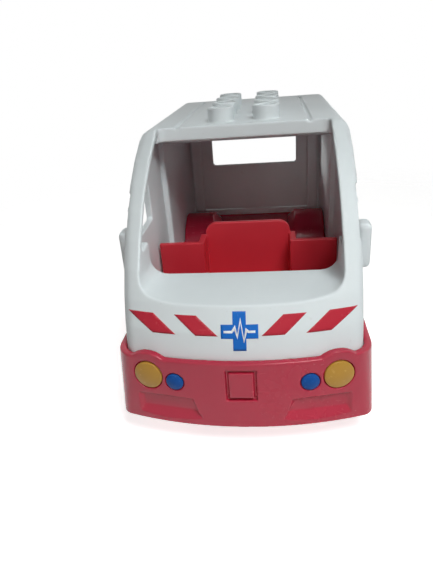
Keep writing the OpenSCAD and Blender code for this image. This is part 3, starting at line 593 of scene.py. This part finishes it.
def seenRays(tree):
    # 1 for the rays that look at the room, 0 for those that light the object
    path = tree.nodes.new("ShaderNodeLightPath").outputs
    seen = sums(tree, "MAXIMUM", path["Is Camera Ray"], path["Is Glossy Ray"])
    return sums(tree, "MAXIMUM", seen, path["Is Transmission Ray"])


def layFloor():
    mesh = bpy.data.meshes.new("floor")
    r = stageLook["floorHalf"]
    mesh.from_pydata([(-r, -r, 0), (r, -r, 0), (r, r, 0), (-r, r, 0)], [], [(0, 1, 2, 3)])
    floor = newObject("floor", mesh)
    floor.location.z = -stageLook["floorDrop"] * mm
    made = bpy.data.materials.new("paleFloor")
    made.use_nodes = True
    tree = made.node_tree
    tree.nodes.clear()
    at = put(tree, "ShaderNodeTexCoord").outputs["Object"]
    cloud = put(tree, "ShaderNodeTexNoise", {"Vector": at, "Scale": stageLook["cloudScale"]}).outputs["Fac"]
    tone = blended(tree, ranged(tree, cloud, *wear["cloudy"]), stageLook["floor"], stageLook["floorCloud"])
    matt = put(tree, "ShaderNodeBsdfDiffuse", {"Color": tone}).outputs[0]
    lift = times(tree, seenRays(tree), stageLook["floorLift"])
    glow = put(tree, "ShaderNodeEmission", {"Color": (1, 1, 1, 1), "Strength": lift}).outputs[0]
    both = put(tree, "ShaderNodeAddShader", {0: matt, 1: glow}).outputs[0]
    # the floor fades into the white room further out
    far = put(tree, "ShaderNodeVectorMath", {0: at}, operation="LENGTH").outputs["Value"]
    gone = ranged(tree, far, stageLook["fadeFrom"], stageLook["fadeTo"])
    clear = tree.nodes.new("ShaderNodeBsdfTransparent").outputs[0]
    both = put(tree, "ShaderNodeMixShader", {0: gone, 1: both, 2: clear}).outputs[0]
    tree.links.new(both, tree.nodes.new("ShaderNodeOutputMaterial").inputs["Surface"])
    mesh.materials.append(made)


def lightRoom():
    world = bpy.data.worlds.new("room")
    scene.world = world
    world.use_nodes = True
    tree = world.node_tree
    tree.nodes.clear()
    soft = put(tree, "ShaderNodeBackground", {"Color": stageLook["ambient"],
                                              "Strength": stageLook["ambientLevel"]}).outputs[0]
    white = put(tree, "ShaderNodeBackground", {"Color": (1, 1, 1, 1), "Strength": 1.0}).outputs[0]
    mixed = put(tree, "ShaderNodeMixShader", {0: seenRays(tree), 1: soft, 2: white}).outputs[0]
    tree.links.new(mixed, tree.nodes.new("ShaderNodeOutputWorld").inputs["Surface"])


lamps = {
    "softKey": {"at": (0.085, -0.185, 0.355), "aim": (0, -0.085, 0.035), "size": 0.12, "spread": 90,
                "watts": 0.083, "tint": (0.962, 1.0, 1.0), "glints": True},
    "softFront": {"at": (0.105, -0.235, 0.305), "aim": (0, -0.085, 0.035), "size": 0.12, "spread": 80,
                  "watts": 0.132, "tint": (0.962, 1.0, 1.0), "glints": True},
    "softFill": {"at": (-0.05, -0.60, 0.22), "aim": (0, -0.03, 0.05), "size": 0.35, "spread": 180,
                 "watts": 0.361, "tint": (1.0, 0.82, 0.76), "glints": True},
    "softRight": {"at": (0.62, -0.12, 0.11), "aim": (0, -0.03, 0.05), "size": 0.18, "spread": 180,
                  "watts": 0.573, "tint": (1.0, 1.0, 1.0), "glints": True},
    "softLeft": {"at": (-0.55, 0.50, 0.11), "aim": (0, -0.03, 0.05), "size": 0.18, "spread": 180,
                 "watts": 2.4, "tint": (1.0, 0.99, 0.97), "glints": False},
    "softBack": {"at": (0.15, 0.85, 0.12), "aim": (0, -0.03, 0.05), "size": 0.2, "spread": 180,
                 "watts": 2.2, "tint": (1.0, 0.99, 0.97), "glints": False},
}


def addLamp(name, lamp):
    light = bpy.data.lights.new(name, "AREA")
    light.shape = "SQUARE"
    light.size = lamp["size"]
    light.spread = math.radians(lamp["spread"])
    light.energy = lamp["watts"]
    light.color = lamp["tint"]
    made = bpy.data.objects.new(name, light)
    scene.collection.objects.link(made)
    made.location = lamp["at"]
    made.rotation_euler = (Vector(lamp["at"]) - Vector(lamp["aim"])).to_track_quat("Z", "Y").to_euler()
    made.visible_glossy = lamp["glints"]    # without glints, a lamp makes no sheen on the roof


view = {
    "at": (0.01110, -0.19088, 0.10825), "lens": 31.75, "sensor": 36.0, "near": 0.005, "far": 20.0,
    "ahead": (-0.12217, 0.89507, -0.42886), "right": (0.99225, 0.10026, -0.07341),
}


def addCamera():
    lens = bpy.data.cameras.new("photoCamera")
    lens.lens = view["lens"]
    lens.sensor_width = view["sensor"]
    lens.sensor_fit = "AUTO"
    lens.clip_start, lens.clip_end = view["near"], view["far"]
    made = bpy.data.objects.new("photoCamera", lens)
    scene.collection.objects.link(made)
    ahead, right = Vector(view["ahead"]).normalized(), Vector(view["right"]).normalized()
    place = Matrix((right, right.cross(ahead), -ahead)).transposed().to_4x4()
    place.translation = Vector(view["at"])
    made.matrix_world = place
    scene.camera = made


layFloor()
lightRoom()
for name, lamp in lamps.items():
    addLamp(name, lamp)
addCamera()
print("stage set")
